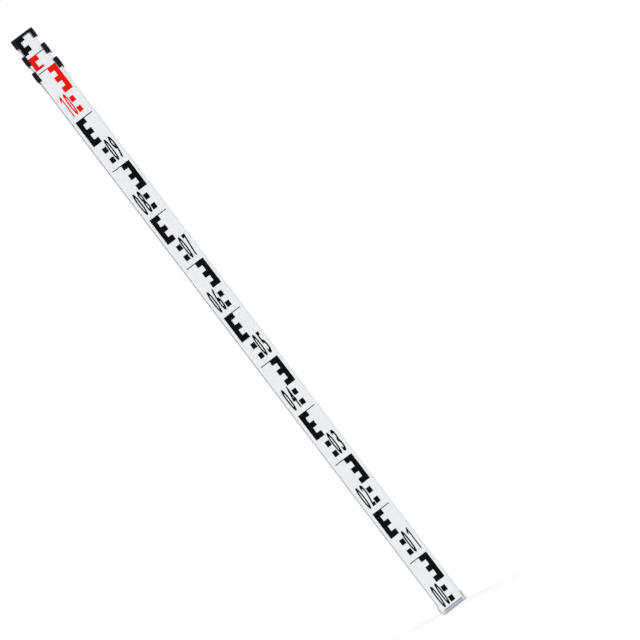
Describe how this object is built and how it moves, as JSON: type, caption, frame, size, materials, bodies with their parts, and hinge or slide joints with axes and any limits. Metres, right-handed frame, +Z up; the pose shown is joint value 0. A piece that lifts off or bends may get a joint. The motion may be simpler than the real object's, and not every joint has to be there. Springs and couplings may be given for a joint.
{
  "type": "telescopic measuring rod",
  "caption": "Telescopic levelling staff of nested aluminium sections that pull out of each other, with black collars, a rocker lock key, a cap and a foot, and a printed block scale.",
  "frame": {"origin": "middle of the sole under the foot", "axes": "+Z up the staff, -Y out of the front face with the block scale, +X to the right as seen from the front"},
  "size_m": [0.052, 0.0312, 1.1708],
  "materials": {
    "section_aluminium": "satin drawn section, white lacquer with a printed scale on the front face",
    "shoe_casting": "satin casting",
    "black_moulding": "fine grained, matte",
    "key_moulding": "gloss",
    "plug_moulding": "matte",
    "bright_steel": "zinc plated",
    "dark_steel": "blackened",
    "spring_steel": "rolled",
    "rivet_aluminium": "bright"
  },
  "bodies": {
    "outer": {"outer_tube": "section_aluminium", "base_shoe": "shoe_casting", "base_shoe_screw": "dark_steel", "outer_collar": "black_moulding", "outer_collar_screws": "bright_steel", "lock_pivot_pin": "bright_steel", "lock_spring": "spring_steel"},
    "lock_key": {"lock_key": "key_moulding"},
    "middle": {"middle_tube": "section_aluminium", "middle_collar": "black_moulding", "middle_collar_screws": "bright_steel", "middle_foot_plug": "plug_moulding", "middle_plug_pins": "bright_steel"},
    "inner": {"inner_tube": "section_aluminium", "top_cap": "black_moulding", "top_cap_rivet": "rivet_aluminium", "inner_foot_plug": "plug_moulding", "inner_plug_pins": "bright_steel", "snap_spring": "spring_steel"},
    "snap_button": {"snap_button": "bright_steel"}
  },
  "joints": [
    {"name": "middle_slide", "type": "slide", "parent": "outer", "child": "middle", "axis": [0, 0, 1], "range_m": [0, 0.87]},
    {"name": "inner_slide", "type": "slide", "parent": "middle", "child": "inner", "axis": [0, 0, 1], "range_m": [0, 0.96]},
    {"name": "lock_key_press", "type": "hinge", "parent": "outer", "child": "lock_key", "pos_m": [0, 0.0141, 1.0805], "axis": [-1, 0, 0], "range_deg": [0, 6], "stiffness_Nm_per_rad": 0.1, "springref_deg": -11.46, "deforming": ["lock_spring"]},
    {"name": "snap_button_press", "type": "slide", "parent": "inner", "child": "snap_button", "axis": [0, -1, 0], "range_m": [0, 0.0015], "stiffness_N_per_m": 600, "springref_m": -0.005, "deforming": ["snap_spring"]}
  ]
}
